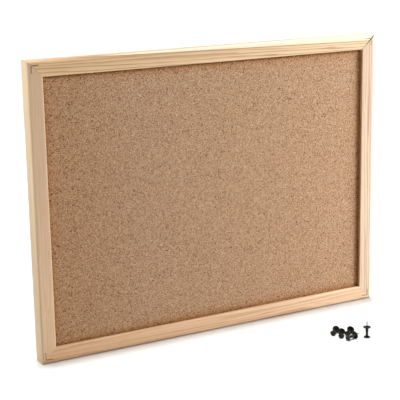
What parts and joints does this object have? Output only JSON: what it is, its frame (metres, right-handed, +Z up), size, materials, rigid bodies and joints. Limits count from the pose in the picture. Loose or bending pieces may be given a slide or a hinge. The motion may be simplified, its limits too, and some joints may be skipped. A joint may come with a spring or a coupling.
{
  "type": "framed cork pin board",
  "caption": "Cork pin board in a mitred pine frame with corner nails, ring hangers on its back, and loose push pins lying in front of it.",
  "frame": {"origin": "middle of the board's bottom edge, halfway through the frame's depth, on the surface that the board stands on", "axes": "+X to the right along the bottom rail seen from the front, +Y from the cork towards the back, +Z up"},
  "size_m": [0.4, 0.1277, 0.3],
  "materials": {
    "pine": "planed and sanded pine, clear sealed",
    "cork": "pressed cork granules, sanded",
    "hardboard": "raw hardboard",
    "nail_steel": "dull dark steel",
    "hanger_steel": "zinc plated",
    "pin_plastic": "glossy black, moulded",
    "needle_steel": "polished steel"
  },
  "bodies": {
    "board": {"top_rail": "pine", "bottom_rail": "pine", "left_stile": "pine", "right_stile": "pine", "corner_nail_bottom_left": "nail_steel", "corner_nail_bottom_right": "nail_steel", "corner_nail_top_right": "nail_steel", "corner_nail_top_left": "nail_steel", "cork_sheet": "cork", "backing_board": "hardboard", "hanger_strap_left": "hanger_steel", "hanger_screw_left": "hanger_steel", "hanger_strap_right": "hanger_steel", "hanger_screw_right": "hanger_steel"},
    "ring_left": {"hanger_ring_left": "hanger_steel"},
    "ring_right": {"hanger_ring_right": "hanger_steel"},
    "pin_1": {"push_pin_1_grip": "pin_plastic", "push_pin_1_needle": "needle_steel"},
    "pin_2": {"push_pin_2_grip": "pin_plastic", "push_pin_2_needle": "needle_steel"},
    "pin_3": {"push_pin_3_grip": "pin_plastic", "push_pin_3_needle": "needle_steel"},
    "pin_4": {"push_pin_4_grip": "pin_plastic", "push_pin_4_needle": "needle_steel"},
    "pin_5": {"push_pin_5_grip": "pin_plastic", "push_pin_5_needle": "needle_steel"}
  },
  "joints": [
    {"name": "left_ring_swing", "type": "hinge", "parent": "board", "child": "ring_left", "pos_m": [-0.12, 0.0105, 0.2881], "axis": [1, 0, 0], "range_deg": [-15, 174]},
    {"name": "right_ring_swing", "type": "hinge", "parent": "board", "child": "ring_right", "pos_m": [0.12, 0.0105, 0.2881], "axis": [1, 0, 0], "range_deg": [-15, 174]},
    {"name": "pin_1_lift", "type": "slide", "parent": "board", "child": "pin_1", "axis": [0, 0, 1], "range_m": [0, 0.04]},
    {"name": "pin_2_lift", "type": "slide", "parent": "board", "child": "pin_2", "axis": [0, 0, 1], "range_m": [0, 0.04]},
    {"name": "pin_3_lift", "type": "slide", "parent": "board", "child": "pin_3", "axis": [0, 0, 1], "range_m": [0, 0.04]},
    {"name": "pin_4_lift", "type": "slide", "parent": "board", "child": "pin_4", "axis": [0, 0, 1], "range_m": [0, 0.04]},
    {"name": "pin_5_lift", "type": "slide", "parent": "board", "child": "pin_5", "axis": [0, 0, 1], "range_m": [0, 0.04]}
  ]
}
